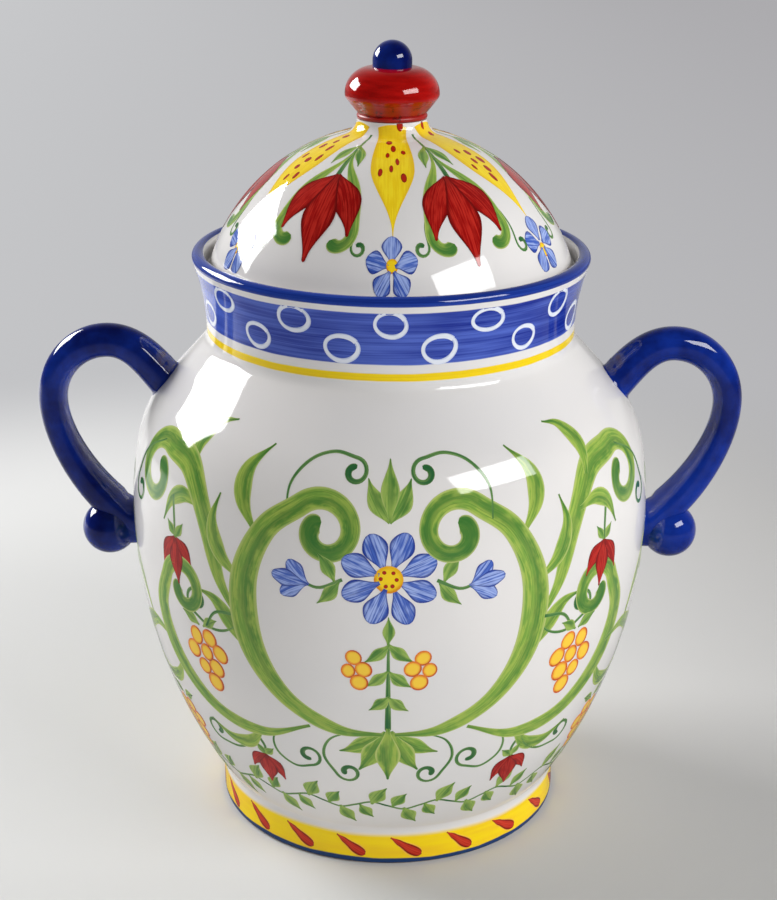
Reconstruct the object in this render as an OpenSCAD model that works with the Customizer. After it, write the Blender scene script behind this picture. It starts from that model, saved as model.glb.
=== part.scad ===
// Biscuit jar: a large two-handled pot of glazed earthenware with a domed lid.
// Millimetres, +Z up, origin at the centre of the foot on the table.
// The front faces -Y and the handles lie along X.

/* [Pot] */
// Widest diameter of the belly
belly_d = 219; // [190:1:240]
// Height of the widest point of the belly
belly_z = 137; // [120:1:150]
// Radius of the long curve from the belly down to the foot
lower_curve_r = 220; // [190:1:300]
// Radius of the curve from the belly up to the shoulder
upper_curve_r = 150; // [110:1:200]
// Height of that curve above the widest point
upper_curve_h = 29; // [20:1:36]
// Radius of the round shoulder
shoulder_r = 50; // [44:1:54]
// Wall thickness of the belly
wall = 5; // [3.5:0.5:7]
// Thickness of the floor inside the foot
floor_t = 7; // [5:0.5:10]
// Radius of the corner between floor and wall inside
inside_corner_r = 18; // [8:1:30]

/* [Foot] */
// Diameter of the foot
foot_d = 148; // [136:1:156]
// Width of the ring that the pot stands on
foot_ring_w = 8; // [6:0.5:14]
// Depth of the hollow inside the foot ring
foot_hollow = 3.5; // [2:0.5:5]
// Radius of the foot's rounded outer edge
foot_edge_r = 1.5; // [0.5:0.25:3]

/* [Neck and rim] */
// Narrowest outer diameter of the neck
neck_d = 152.6; // [146:0.2:160]
// Radius of the hollow curve where shoulder meets neck
neck_fillet_r = 10; // [6:1:14]
// Straight height of the neck above that curve
neck_straight = 5; // [0:0.5:12]
// Height of the flare between the neck and the rolled lip
flare_h = 30; // [20:1:36]
// How far the flare leans out over that height
flare_out = 5.4; // [2:0.1:8]
// Radius of the rolled lip
lip_r = 2.8; // [2:0.1:4]
// Depth of the lid seat below the top of the lip
seat_depth = 7.3; // [5:0.1:10]

/* [Lid] */
// Gap between the edge of the lid and the wall of its seat
lid_edge_gap = 1.6; // [0.6:0.1:2.5]
// Thickness of the lid's edge
lid_edge_t = 3; // [2:0.1:5]
// Radius of the dome's profile
dome_r = 80; // [78:0.1:100]
// Distance from the axis to the centre of that profile, on the far side
dome_offset = 1.5; // [0:0.5:4]
// Wall thickness of the dome
lid_wall = 4.5; // [3:0.5:6]
// Gap between the lid's flange and the mouth
flange_gap = 1.5; // [0.6:0.1:2.5]
// Depth of the flange below the seat
flange_h = 12; // [8:1:20]
// Thickness of the flange
flange_t = 4; // [3:0.5:6]
// Radius of the fillet between dome and knob
knob_fillet_r = 6; // [2:0.5:10]

/* [Knob] */
// Widest diameter of the knob
knob_d = 38; // [32:0.2:44]
// Diameter of the knob at its base
knob_base_d = 28.4; // [22:0.2:32]
// Diameter of the flat on top of the knob
knob_top_d = 16.8; // [16:0.2:20]
// Height of the knob
knob_h = 20.2; // [18:0.1:28]
// Height of the knob's crown, from its widest point to its top
crown_h = 10.6; // [8:0.2:12]
// Radius of the turn below the knob's widest point
knob_edge_r = 2.5; // [1:0.25:4]
// Radius of the bead round the knob's base
knob_bead_r = 1.1; // [0.6:0.1:1.6]
// Depth of the waist above that bead
knob_waist = 0.4; // [0:0.1:1.5]
// Diameter of the ball on top
ball_d = 15.8; // [12:0.2:16]
// Height of the ball's straight side below its round top
ball_side_h = 2.6; // [1:0.1:5]

/* [Handles] */
// Height of the upper joint's centre above the widest point of the belly
upper_joint_h = 52.5; // [46:0.5:56]
// Height of the lower joint's centre below the widest point of the belly
lower_joint_h = 12; // [4:0.5:20]
// How far the handle's centre line stands out from the belly
handle_reach = 33; // [26:0.5:44]
// Height of the top of the loop's centre line above the upper joint
handle_rise = 16.5; // [12:0.5:24]
// Distance of that top inwards from the loop's outermost point
handle_crook = 24; // [18:0.5:30]
// Depth of the outermost point below the top of the loop
handle_drop = 26; // [18:0.5:34]
// Angle at which the handle leaves the shoulder, above horizontal
leave_angle = 52; // [35:1:65]
// Angle at which the handle comes back to the belly, below horizontal
return_angle = 30; // [15:1:50]
// Diameter of the handle at its upper joint
handle_d_root = 16; // [12:0.2:18]
// Diameter of the handle at the top of the loop
handle_d_top = 14.4; // [10:0.2:16]
// Diameter of the handle at the outermost point
handle_d_side = 12.2; // [10:0.2:16]
// Diameter of the handle at its lower joint
handle_d_end = 16.4; // [10:0.2:18]
// Diameter of the ball under the lower joint
handle_ball_d = 23.4; // [18:0.2:26]
// Height of the ball's centre below the lower joint
handle_ball_drop = 3; // [1:0.5:8]
// Diameter of the short stem that holds the ball to the pot
ball_stem_d = 15; // [12:0.5:18]

/* [Hidden] */

$fn = 96;
white = "whitesmoke";
navy = "midnightblue";
red = "firebrick";
big = 400;
join = 0.01;

// Centres of the profile's curves, each tangent to the next
belly_r = belly_d / 2;
lower_c = [belly_r - lower_curve_r, belly_z];
upper_c = [belly_r - upper_curve_r, belly_z];
upper_angle = asin(upper_curve_h / upper_curve_r);
shoulder_c = upper_c + (upper_curve_r - shoulder_r) * [cos(upper_angle), sin(upper_angle)];
neck_r = neck_d / 2;
fillet_x = neck_r + neck_fillet_r;
fillet_c = [fillet_x,
            shoulder_c.y + sqrt(pow(shoulder_r + neck_fillet_r, 2) - pow(fillet_x - shoulder_c.x, 2))];
fillet_dir = (fillet_c - shoulder_c) / (shoulder_r + neck_fillet_r);

// The flare is an arc that starts upright and leans out by flare_out
flare_z = fillet_c.y + neck_straight;
flare_r = (pow(flare_h, 2) + pow(flare_out, 2)) / (2 * flare_out);
flare_c = [neck_r + flare_r, flare_z];
lip_z = flare_z + flare_h;
lip_c = [neck_r + flare_out - lip_r, lip_z];
rim_top = lip_z + lip_r;
seat_z = rim_top - seat_depth;
seat_wall_r = lip_c.x - lip_r;
mouth_r = neck_r - wall;

foot_r = foot_d / 2;
floor_z = foot_hollow + floor_t;
cavity_corner_z = floor_z + inside_corner_r;
inner_curve_r = lower_curve_r - wall;
cavity_corner_c = [lower_c.x + sqrt(pow(inner_curve_r - inside_corner_r, 2)
                                    - pow(belly_z - cavity_corner_z, 2)), cavity_corner_z];
corner_dir = (cavity_corner_c - lower_c) / (inner_curve_r - inside_corner_r);
cavity_low_z = (lower_c + inner_curve_r * corner_dir).y;

// Lid: an arc whose centre lies past the axis gives the dome its blunt point, and
// the arc runs tangent into the round edge
lid_edge_r = lid_edge_t / 2;
lid_edge_c = [seat_wall_r - lid_edge_gap - lid_edge_r, seat_z + lid_edge_r];
dome_c = [-dome_offset, lid_edge_c.y - sqrt(pow(dome_r - lid_edge_r, 2)
                                            - pow(lid_edge_c.x + dome_offset, 2))];
dome_edge_p = dome_c + dome_r / (dome_r - lid_edge_r) * (lid_edge_c - dome_c);
flange_r = mouth_r - flange_gap;
knob_base_r = knob_base_d / 2;
ceiling_z = dome_c.y + sqrt(pow(dome_r - lid_wall, 2) - pow(knob_base_r + dome_offset, 2));
foot_fillet_x = knob_base_r + knob_fillet_r;
foot_fillet_r = dome_r + knob_fillet_r;
foot_fillet_c = [foot_fillet_x,
                 dome_c.y + sqrt(pow(foot_fillet_r, 2) - pow(foot_fillet_x + dome_offset, 2))];
foot_fillet_z = (dome_c + dome_r / foot_fillet_r * (foot_fillet_c - dome_c)).y;

// Knob: a crown on an edge that turns under into a conical skirt
knob_z = foot_fillet_c.y;
knob_r = knob_d / 2;
knob_top_z = knob_z + knob_h;
crown_z = knob_top_z - crown_h;
crown_in = knob_r - knob_top_d / 2;
crown_r = (pow(crown_in, 2) + pow(crown_h, 2)) / (2 * crown_in);
waist_p = [knob_base_r - knob_waist, knob_z + 2 * knob_bead_r];
edge_c = [knob_r - knob_edge_r, crown_z];
edge_away = norm(edge_c - waist_p);
skirt_len = sqrt(pow(edge_away, 2) - pow(knob_edge_r, 2));
skirt_angle = atan2(edge_c.y - waist_p.y, edge_c.x - waist_p.x) - asin(knob_edge_r / edge_away);
skirt_p = waist_p + skirt_len * [cos(skirt_angle), sin(skirt_angle)];
ball_r = ball_d / 2;
ball_z = knob_top_z + ball_side_h;

// Handle: its centre line runs through four anchors, in the plane of X and Z
upper_joint_z = belly_z + upper_joint_h;
lower_joint_z = belly_z - lower_joint_h;
shoulder_x = shoulder_c.x + sqrt(pow(shoulder_r, 2) - pow(upper_joint_z - shoulder_c.y, 2));
belly_x = lower_c.x + sqrt(pow(lower_curve_r, 2) - pow(lower_joint_h, 2));
loop_x = belly_r + handle_reach;
loop_top_z = upper_joint_z + handle_rise;
root_p = [shoulder_x, upper_joint_z];
top_p = [loop_x - handle_crook, loop_top_z];
side_p = [loop_x, loop_top_z - handle_drop];
end_p = [belly_x, lower_joint_z];
leave_dir = [cos(leave_angle), sin(leave_angle)];
return_dir = [-cos(return_angle), -sin(return_angle)];
quarter = 0.5523;
handle_sides = 20;
steps = 11;
buried = 9;
ball_c = [belly_r + handle_ball_d / 2, lower_joint_z - handle_ball_drop];

function bezier(p, t) = pow(1 - t, 3) * p[0] + 3 * pow(1 - t, 2) * t * p[1]
                      + 3 * (1 - t) * t * t * p[2] + pow(t, 3) * p[3];
function unit(v) = v / norm(v);
function mix(a, b, t) = a + (b - a) * (3 * t * t - 2 * t * t * t);

// One stretch of centre line as rows of [point, radius]
function stretch(p, ra, rb, last) =
    [for (i = [0 : steps - (last ? 0 : 1)]) [bezier(p, i / steps), mix(ra, rb, i / steps)]];

rise_len = 0.36 * norm(top_p - root_p);
fall_len = 0.30 * norm(side_p - end_p);
rod = concat(
    [[root_p - buried * leave_dir, handle_d_root / 2]],
    stretch([root_p, root_p + rise_len * leave_dir, top_p - [rise_len, 0], top_p],
            handle_d_root / 2, handle_d_top / 2, false),
    stretch([top_p, top_p + [quarter * handle_crook, 0], side_p + [0, quarter * handle_drop], side_p],
            handle_d_top / 2, handle_d_side / 2, false),
    stretch([side_p, side_p - [0, fall_len], end_p - fall_len * return_dir, end_p],
            handle_d_side / 2, handle_d_end / 2, true),
    [[end_p + buried * return_dir, handle_d_end / 2]]);

// Half profile of the pot, filled to the axis, with every wall moved in by t
module pot_half(t) {
    upper_r = upper_curve_r - t;
    round_r = shoulder_r - t;
    hollow_r = neck_fillet_r + t;
    upper_z = upper_c.y + upper_r * sin(upper_angle);
    round_z = (shoulder_c + round_r * fillet_dir).y;
    intersection() {
        translate(lower_c) circle(lower_curve_r - t, $fn = 180);
        square([big, belly_z]);
    }
    intersection() {
        translate(upper_c) circle(upper_r, $fn = 180);
        translate([0, belly_z]) square([big, upper_z - belly_z]);
    }
    intersection() {
        translate(shoulder_c) circle(round_r);
        translate([shoulder_c.x, upper_z]) square([big, round_z - upper_z]);
    }
    translate([0, upper_z]) square([shoulder_c.x, round_z - upper_z]);
    difference() {
        translate([0, round_z]) square([fillet_c.x, fillet_c.y - round_z]);
        translate(fillet_c) circle(hollow_r);
    }
    translate([0, round_z]) square([neck_r - t, lip_z - round_z]);
}

// Outside of the neck's flare with the rolled lip, filled to the axis
module rim_half() {
    difference() {
        translate([0, flare_z]) square([neck_r + flare_out, flare_h]);
        translate(flare_c) circle(flare_r, $fn = 180);
    }
    translate(lip_c) circle(lip_r);
    translate([0, lip_z]) square([lip_c.x, lip_r]);
}

// Foot with a rounded outer edge, filled to the axis
module foot_half() {
    translate([foot_r - foot_edge_r, foot_edge_r]) circle(foot_edge_r);
    square([foot_r - foot_edge_r, foot_edge_r + join]);
    translate([0, foot_edge_r]) square([foot_r, belly_z / 8]);
}

// Everything inside the pot, from the floor to the mouth, with the lid seat
module cavity_half() {
    intersection() {
        pot_half(wall);
        translate([0, cavity_low_z]) square([big, big]);
    }
    translate([0, floor_z]) square([cavity_corner_c.x, inside_corner_r]);
    intersection() {
        translate(cavity_corner_c) circle(inside_corner_r);
        translate([cavity_corner_c.x, floor_z]) square(inside_corner_r);
    }
    translate([0, belly_z]) square([mouth_r, big]);
    translate([0, seat_z]) square([seat_wall_r, big]);
    difference() {
        translate([0, lip_z]) square([lip_c.x, big]);
        translate(lip_c) circle(lip_r);
    }
}

// Outside of the whole pot, filled to the axis
module outside_half() {
    intersection() {
        pot_half(0);
        translate([0, foot_edge_r]) square([big, big]);
    }
    foot_half();
    rim_half();
}

module pot_outside() {
    rotate_extrude($fn = 180) outside_half();
}

module jar_body() {
    color(white)
        rotate_extrude($fn = 180)
            difference() {
                outside_half();
                cavity_half();
                translate([0, -join]) square([foot_r - foot_ring_w, foot_hollow + join]);
            }
}

// Outside of the lid above its seat, filled to the axis, with a flat for the knob
module lid_half() {
    intersection() {
        translate(dome_c) circle(dome_r, $fn = 180);
        translate([knob_base_r, dome_edge_p.y]) square([big, big]);
    }
    translate([0, seat_z]) square([lid_edge_c.x, dome_edge_p.y - seat_z]);
    translate(lid_edge_c) circle(lid_edge_r);
    translate([0, seat_z]) square([knob_base_r, knob_z - seat_z]);
    difference() {
        translate([0, foot_fillet_z]) square([foot_fillet_x, knob_z - foot_fillet_z]);
        translate(foot_fillet_c) circle(knob_fillet_r);
    }
}

// Space inside the dome, flat below the knob
module lid_space_half() {
    inner_r = dome_r - lid_wall;
    intersection() {
        translate(dome_c) circle(inner_r, $fn = 180);
        translate([knob_base_r, seat_z - join])
            square([flange_r - flange_t - knob_base_r, big]);
    }
    translate([0, seat_z - join]) square([knob_base_r, ceiling_z - seat_z + join]);
}

// Flange that keeps the lid in the mouth, with a rounded lower edge
module flange_half() {
    low_z = seat_z - flange_h;
    translate([flange_r - flange_t, low_z + flange_t / 2]) square([flange_t, flange_h - flange_t / 2]);
    translate([flange_r - flange_t / 2, low_z + flange_t / 2]) circle(d = flange_t);
}

module lid() {
    color(white)
        rotate_extrude($fn = 180) {
            difference() {
                lid_half();
                lid_space_half();
            }
            flange_half();
        }
}

module lid_knob() {
    color(red)
        rotate_extrude() {
            intersection() {
                translate([knob_r - crown_r, crown_z]) circle(crown_r);
                translate([knob_r - crown_r, crown_z]) square([crown_r, crown_h]);
            }
            translate([0, crown_z]) square([knob_r - crown_r, crown_h]);
            translate(edge_c) circle(knob_edge_r);
            polygon([[0, knob_z], [waist_p.x, knob_z], waist_p, skirt_p, edge_c, [0, crown_z]]);
            translate([knob_base_r - knob_bead_r, knob_z + knob_bead_r]) circle(knob_bead_r);
        }
}

module knob_ball() {
    color(navy)
        rotate_extrude() {
            intersection() {
                translate([0, ball_z]) circle(ball_r);
                translate([0, ball_z]) square([ball_r, ball_r]);
            }
            translate([0, knob_top_z]) square([ball_r, ball_side_h]);
        }
}

// Tube swept along rows of [point, radius] that lie in the plane of X and Z
module swept(rows) {
    n = handle_sides;
    last = len(rows) - 1;
    dirs = [for (i = [0 : last]) unit(rows[min(i + 1, last)][0] - rows[max(i - 1, 0)][0])];
    points = [for (i = [0 : last]) for (j = [0 : n - 1])
        let (a = 360 * j / n, c = rows[i][0], r = rows[i][1], d = dirs[i])
        [c.x - d.y * r * cos(a), r * sin(a), c.y + d.x * r * cos(a)]];
    side = [for (i = [0 : last - 1]) for (j = [0 : n - 1]) for (k = [0, 1])
        let (a = i * n + j, b = i * n + (j + 1) % n)
        k == 0 ? [a, b, b + n] : [a, b + n, a + n]];
    caps = [[for (j = [n - 1 : -1 : 0]) j], [for (j = [0 : n - 1]) last * n + j]];
    polyhedron(points, concat(side, caps));
}

// Ball with its stem, running on into the pot
module ball_blank() {
    translate([ball_c.x, 0, ball_c.y]) sphere(d = handle_ball_d);
    translate([belly_x - buried, 0, ball_c.y])
        rotate([0, 90, 0]) cylinder(h = ball_c.x - belly_x + buried, d = ball_stem_d);
}

module handle_ball() {
    difference() {
        ball_blank();
        pot_outside();
    }
}

module handle() {
    difference() {
        swept(rod);
        ball_blank();
        pot_outside();
    }
}

module right_handle() { color(navy) handle(); }
module left_handle() { color(navy) mirror([1, 0, 0]) handle(); }
module right_handle_ball() { color(navy) handle_ball(); }
module left_handle_ball() { color(navy) mirror([1, 0, 0]) handle_ball(); }

jar_body();
left_handle();
right_handle();
left_handle_ball();
right_handle_ball();
lid();
lid_knob();
knob_ball();
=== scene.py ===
# %% [markdown]
# # A two-handled biscuit jar in glazed earthenware
#
# The jar is a thrown pot with a flared neck, two looped handles that end in balls, and a
# domed lid with a turned knob. Everything is covered in one clear, wet-looking glaze over
# hand-painted colours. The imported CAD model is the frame: each piece below is made on the
# same centres and radii as the solid that it stands for, in metres, with far more faces.

# %% The frame
import math
import random

import bmesh
import bpy
import numpy as np
from mathutils import Matrix, Vector


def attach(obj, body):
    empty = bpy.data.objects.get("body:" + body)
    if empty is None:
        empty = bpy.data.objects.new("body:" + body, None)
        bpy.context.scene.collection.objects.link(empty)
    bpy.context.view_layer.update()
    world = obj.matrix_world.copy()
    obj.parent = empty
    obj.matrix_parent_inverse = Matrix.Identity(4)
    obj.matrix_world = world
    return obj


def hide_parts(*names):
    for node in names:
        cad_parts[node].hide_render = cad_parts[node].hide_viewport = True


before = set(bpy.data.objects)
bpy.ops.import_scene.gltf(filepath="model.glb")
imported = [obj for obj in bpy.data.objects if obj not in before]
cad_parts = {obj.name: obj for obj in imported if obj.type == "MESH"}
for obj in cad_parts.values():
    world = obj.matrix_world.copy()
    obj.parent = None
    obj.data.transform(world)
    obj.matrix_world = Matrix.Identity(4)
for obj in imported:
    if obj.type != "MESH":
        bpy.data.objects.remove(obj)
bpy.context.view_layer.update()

QUARTER = math.pi / 2


def add_object(name, data):
    made = bpy.data.objects.new(name, data)
    bpy.context.scene.collection.objects.link(made)
    return made


# %% [markdown]
# ## The camera
#
# The photograph was taken with a moderately long lens from a little above the lid. The
# round edges of lip, bands and foot are ellipses whose widths and depths fix the camera,
# so it is placed by numbers and not by eye. A turn of a third of a degree about the line
# of sight keeps the slight lean of the picture.

# %% Camera
EYE = Vector((0.0, -0.72694, 0.42373))
DOWN, LEAN, PAN = math.radians(20.10), math.radians(0.34), math.radians(-0.05)
LENS, FILM = 72.44, 36

ahead = Vector((math.sin(PAN) * math.cos(DOWN), math.cos(PAN) * math.cos(DOWN), -math.sin(DOWN)))
level = Vector((math.cos(PAN), -math.sin(PAN), 0))
above = level.cross(ahead)
across = level * math.cos(LEAN) + above * math.sin(LEAN)
upright = above * math.cos(LEAN) - level * math.sin(LEAN)

camera = add_object("camera", bpy.data.cameras.new("camera"))
camera.data.lens, camera.data.sensor_width = LENS, FILM
camera.matrix_world = Matrix.Translation(EYE) @ Matrix((across, upright, -ahead)).transposed().to_4x4()
bpy.context.scene.camera = camera
bpy.context.scene.view_settings.view_transform = "Standard"
print("camera looks along", [round(v, 3) for v in ahead])

# %% [markdown]
# ## Curves of the pot
#
# A potter's profile is a chain of arcs, each tangent to the next. These are the named
# sizes of the construction, and from them the centres of the arcs. A point of a profile
# is written (distance from the axis, height). The belly is drawn in by the thickness of
# the colours that are painted on it, so that the painted jar has the size of the plain
# one. Outside, the shoulder runs up to the neck in a straighter slope than the solid's
# round fillet, with a small fold at its top, as the photograph shows it.


# %% Points, arcs and lines of a profile
def polar(centre, radius, angle):
    return centre[0] + radius * math.cos(angle), centre[1] + radius * math.sin(angle)


def bearing(a, b):
    return math.atan2(b[1] - a[1], b[0] - a[0])


def height_over(x, centre, radius):
    """Height of a circle's upper half over x."""
    return centre[1] + math.sqrt(radius ** 2 - (x - centre[0]) ** 2)


def arc(centre, radius, start, end, step=0.0016):
    """Points from angle start to angle end, in radians, at most step apart."""
    n = max(3, math.ceil(abs(end - start) * radius / step))
    return [polar(centre, radius, start + (end - start) * i / n) for i in range(n + 1)]


def line(a, b, step=0.002):
    n = max(1, math.ceil(math.dist(a, b) / step))
    return [(a[0] + (b[0] - a[0]) * i / n, a[1] + (b[1] - a[1]) * i / n) for i in range(n + 1)]


def chain(*runs):
    """Joins runs of points and drops the doubles where they meet."""
    out = []
    for p in (p for run in runs for p in run):
        if not out or math.dist(out[-1], p) > 1e-6:
            out.append(p)
    return out


# %% Named sizes of the pot
BELLY_R, BELLY_Z = 0.1095, 0.137
LOWER_R, UPPER_R, UPPER_H, SHOULDER_R = 0.220, 0.150, 0.029, 0.050
WALL, FLOOR_Z, CORNER_R = 0.005, 0.0105, 0.018
FOOT_R, FOOT_RING, FOOT_HOLLOW, FOOT_EDGE, RING_EDGE = 0.074, 0.008, 0.0035, 0.0015, 0.001
NECK_R, FILLET_R, NECK_STRAIGHT = 0.0763, 0.010, 0.005
SLOPE_A, FOLD_R = math.radians(42), 0.006
FLARE_H, FLARE_OUT, LIP_R = 0.030, 0.0054, 0.0028
SEAT_DEPTH, SEAT_EDGE, MOUTH_EDGE = 0.0073, 0.0006, 0.0008
PAINT_T, PAINT_SPREAD = 0.00015, 0.04

LOWER_C, UPPER_C = (BELLY_R - LOWER_R, BELLY_Z), (BELLY_R - UPPER_R, BELLY_Z)
UPPER_A = math.asin(UPPER_H / UPPER_R)
SHOULDER_C = polar(UPPER_C, UPPER_R - SHOULDER_R, UPPER_A)
FILLET_X = NECK_R + FILLET_R
FILLET_C = (FILLET_X, height_over(FILLET_X, SHOULDER_C, SHOULDER_R + FILLET_R))
FILLET_A = bearing(SHOULDER_C, FILLET_C)
SLOPE_START, FOLD_X = polar(SHOULDER_C, SHOULDER_R, SLOPE_A), NECK_R + FOLD_R
FOLD_RISE = (FOLD_R - (FOLD_X - SLOPE_START[0]) * math.cos(SLOPE_A)) / math.sin(SLOPE_A)
FOLD_C = (FOLD_X, SLOPE_START[1] + FOLD_RISE)
FLARE_Z = FILLET_C[1] + NECK_STRAIGHT
FLARE_R = (FLARE_H ** 2 + FLARE_OUT ** 2) / (2 * FLARE_OUT)
FLARE_C, FLARE_TOP = (NECK_R + FLARE_R, FLARE_Z), math.pi - math.asin(FLARE_H / FLARE_R)
LIP_C = (NECK_R + FLARE_OUT - LIP_R, FLARE_Z + FLARE_H)
SEAT_Z = LIP_C[1] + LIP_R - SEAT_DEPTH
SEAT_R, MOUTH_R = LIP_C[0] - LIP_R, NECK_R - WALL
CORNER_X = LOWER_C[0] + math.sqrt((LOWER_R - WALL - CORNER_R) ** 2 - (BELLY_Z - FLOOR_Z - CORNER_R) ** 2)
CORNER_C = (CORNER_X, FLOOR_Z + CORNER_R)
CORNER_A = bearing(LOWER_C, CORNER_C)
FOOT_MEETS = math.acos((FOOT_R - LOWER_C[0]) / LOWER_R)
print("rim at", round(LIP_C[1] + LIP_R, 5), "seat at", round(SEAT_Z, 5))


# %% The pot's profile
def side_run(straight, curve, shoulder, flare):
    """The side from the foot's edge to the lip. Each size is the longest step of its part."""
    belly = arc(LOWER_C, LOWER_R, -FOOT_MEETS, 0, curve)
    fold = arc(FOLD_C, FOLD_R, SLOPE_A + math.pi, math.pi, shoulder / 3)
    run = chain(line((FOOT_R, FOOT_EDGE), belly[0], straight), belly,
                arc(UPPER_C, UPPER_R, 0, UPPER_A, curve),
                arc(SHOULDER_C, SHOULDER_R, UPPER_A, SLOPE_A, shoulder),
                line(SLOPE_START, fold[0], shoulder), fold,
                line(fold[-1], (NECK_R, FLARE_Z), shoulder),
                arc(FLARE_C, FLARE_R, math.pi, FLARE_TOP, flare))
    return [(r - PAINT_T * math.exp(-((z - BELLY_Z) / PAINT_SPREAD) ** 2), z) for r, z in run]


seat_in, mouth_out, ring_in = SEAT_R - SEAT_EDGE, MOUTH_R + MOUTH_EDGE, FOOT_R - FOOT_RING
outer_run = chain(arc((FOOT_R - FOOT_EDGE, FOOT_EDGE), FOOT_EDGE, -QUARTER, 0, 0.0003),
                  side_run(0.002, 0.0016, 0.0016, 0.0012))
inner_run = chain(
    arc(LIP_C, LIP_R, 0, math.pi, 0.0004),
    line((SEAT_R, LIP_C[1]), (SEAT_R, SEAT_Z + SEAT_EDGE)),
    arc((seat_in, SEAT_Z + SEAT_EDGE), SEAT_EDGE, 0, -QUARTER, 0.0002),
    line((seat_in, SEAT_Z), (mouth_out, SEAT_Z)),
    arc((mouth_out, SEAT_Z - MOUTH_EDGE), MOUTH_EDGE, QUARTER, math.pi, 0.0002),
    line((MOUTH_R, SEAT_Z - MOUTH_EDGE), (MOUTH_R, FILLET_C[1])),
    arc(FILLET_C, FILLET_R + WALL, math.pi, FILLET_A + math.pi, 0.0012),
    arc(SHOULDER_C, SHOULDER_R - WALL, FILLET_A, UPPER_A, 0.002),
    arc(UPPER_C, UPPER_R - WALL, UPPER_A, 0, 0.003),
    arc(LOWER_C, LOWER_R - WALL, 0, CORNER_A, 0.003),
    arc(CORNER_C, CORNER_R, CORNER_A, -QUARTER, 0.0015),
    line((CORNER_X, FLOOR_Z), (0, FLOOR_Z), 0.012))
under_run = chain(
    line((0, FOOT_HOLLOW), (ring_in - RING_EDGE, FOOT_HOLLOW), 0.012),
    arc((ring_in - RING_EDGE, FOOT_HOLLOW - RING_EDGE), RING_EDGE, QUARTER, 0, 0.0003),
    line((ring_in, FOOT_HOLLOW - RING_EDGE), (ring_in, 0)), line((ring_in, 0), (FOOT_R - FOOT_EDGE, 0)))
print("outer profile has", len(outer_run), "points, inner", len(inner_run))

# %% [markdown]
# ## Turning a profile into a pot
#
# A thrown or jiggered pot is a solid of revolution. Blender's Screw modifier or a spin
# could make it, but a short function that lays the rings out itself closes both poles,
# shares every vertex and keeps the seam shut. Faces are smooth, and edges that turn by
# more than forty degrees stay crisp.


# %% The lathe
def mesh_object(name, points, faces, crease=40):
    mesh = bpy.data.meshes.new(name)
    mesh.from_pydata([tuple(p) for p in points], [], faces)
    made = bmesh.new()
    made.from_mesh(mesh)
    bmesh.ops.recalc_face_normals(made, faces=made.faces)
    made.to_mesh(mesh)
    made.free()
    mesh.shade_smooth()
    mesh.set_sharp_from_angle(angle=math.radians(crease))
    return add_object(name, mesh)


def tube_faces(rows, sides):
    """Quads between rings of points that lie one after another."""
    neighbours = [(j, (j + 1) % sides) for j in range(sides)]
    return [(i * sides + j, i * sides + k, (i + 1) * sides + k, (i + 1) * sides + j)
            for i in range(rows - 1) for j, k in neighbours]


def turned(profile, turns):
    """Points and faces of a closed solid of revolution. The profile starts and ends on the axis."""
    ring, rows = np.arange(turns) * math.tau / turns, np.array(profile[1:-1])
    points = np.stack([np.outer(rows[:, 0], np.cos(ring)), np.outer(rows[:, 0], np.sin(ring)),
                       np.repeat(rows[:, 1:], turns, 1)], -1).reshape(-1, 3)
    first, last, end = len(points), len(points) + 1, len(points) - turns
    faces = tube_faces(len(rows), turns)
    for j in range(turns):
        k = (j + 1) % turns
        faces += [(first, k, j), (last, end + j, end + k)]
    return np.vstack([points, (0, 0, profile[0][1]), (0, 0, profile[-1][1])]), faces


def finish_piece(piece, body, slot, *nodes):
    """Rides the piece on its body and lets it stand for CAD nodes. The slot is not used."""
    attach(piece, body)
    if nodes:
        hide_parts(*nodes)
    print(f"{piece.name}: {len(piece.data.polygons)} faces on body {body}")
    return piece


def lathe(name, profile, turns, body, slot, node):
    return finish_piece(mesh_object(name, *turned(profile, turns)), body, slot, node)


pot = lathe("pot", chain(under_run, outer_run, inner_run), 256, "jar", "white_glaze", "jar_body")

# %% [markdown]
# ## Lid, knob and ball
#
# The lid is a round dome that sweeps up to the knob. It sits inside the lip on
# a ledge, kept in place by a flange below. The knob was turned on its own: a flat crown,
# a round edge, a conical skirt and a small bead. The blue ball is the last thing on top.

# %% Named sizes of lid and knob
EDGE_GAP, EDGE_R, DOME_R, DOME_OFFSET, LID_WALL = 0.0016, 0.0015, 0.080, 0.0015, 0.0045
FLANGE_GAP, FLANGE_H, FLANGE_T, KNOB_FILLET = 0.0015, 0.012, 0.004, 0.006
KNOB_R, KNOB_BASE_R, KNOB_TOP_R, KNOB_H, CROWN_H = 0.0190, 0.0142, 0.0084, 0.0202, 0.0106
KNOB_EDGE_R, BEAD_R, BEAD_A, WAIST, BALL_R, BALL_SIDE = 0.0025, 0.0011, 1.1, 0.0004, 0.0079, 0.0026

EDGE_C = (SEAT_R - EDGE_GAP - EDGE_R, SEAT_Z + EDGE_R)
DOME_C = (-DOME_OFFSET, EDGE_C[1] - math.sqrt((DOME_R - EDGE_R) ** 2 - (EDGE_C[0] + DOME_OFFSET) ** 2))
EDGE_A = bearing(DOME_C, EDGE_C)
CEILING_R, FLANGE_R = DOME_R - LID_WALL, MOUTH_R - FLANGE_GAP
FLANGE_IN, FLANGE_ROUND, FLANGE_LOW = FLANGE_R - FLANGE_T, FLANGE_T / 2, SEAT_Z - FLANGE_H + FLANGE_T / 2
FILLET_KX = KNOB_BASE_R + KNOB_FILLET
KNOB_Z = height_over(FILLET_KX, DOME_C, DOME_R + KNOB_FILLET)
FILLET_K = (FILLET_KX, KNOB_Z)
FILLET_KA = bearing(DOME_C, FILLET_K)
KNOB_TOP, CROWN_Z = KNOB_Z + KNOB_H, KNOB_Z + KNOB_H - CROWN_H
BALL_Z = KNOB_TOP + BALL_SIDE
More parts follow.
